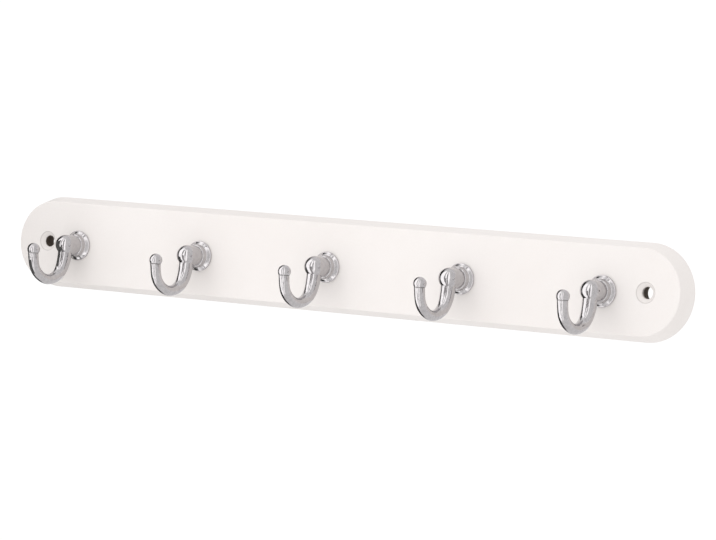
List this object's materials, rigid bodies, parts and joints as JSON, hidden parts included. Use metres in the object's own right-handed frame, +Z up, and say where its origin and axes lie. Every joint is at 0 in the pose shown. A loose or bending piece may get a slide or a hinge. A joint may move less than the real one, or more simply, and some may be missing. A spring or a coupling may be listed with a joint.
{
  "type": "key hook rack",
  "caption": "Wall key rack: a white board with full-round ends and sloping edges carries a row of chrome J hooks on round bases, with countersunk holes for wall screws.",
  "frame": {"origin": "middle of the board's back face, which lies on the wall", "axes": "+X along the board, to the right as seen from the front; +Z up; +Y into the wall, so the hooks point along -Y"},
  "size_m": [0.38, 0.0483, 0.045],
  "materials": {
    "board_paint": "satin off-white paint on fibreboard, sprayed, slightly uneven",
    "hook_chrome": "polished chrome plate on a zinc casting",
    "screw_zinc": "bright zinc plate on steel"
  },
  "bodies": {
    "root": {"board": "board_paint", "hook_1": "hook_chrome", "hook_2": "hook_chrome", "hook_3": "hook_chrome", "hook_4": "hook_chrome", "hook_5": "hook_chrome", "hook_fixing_screws": "screw_zinc"}
  },
  "joints": []
}
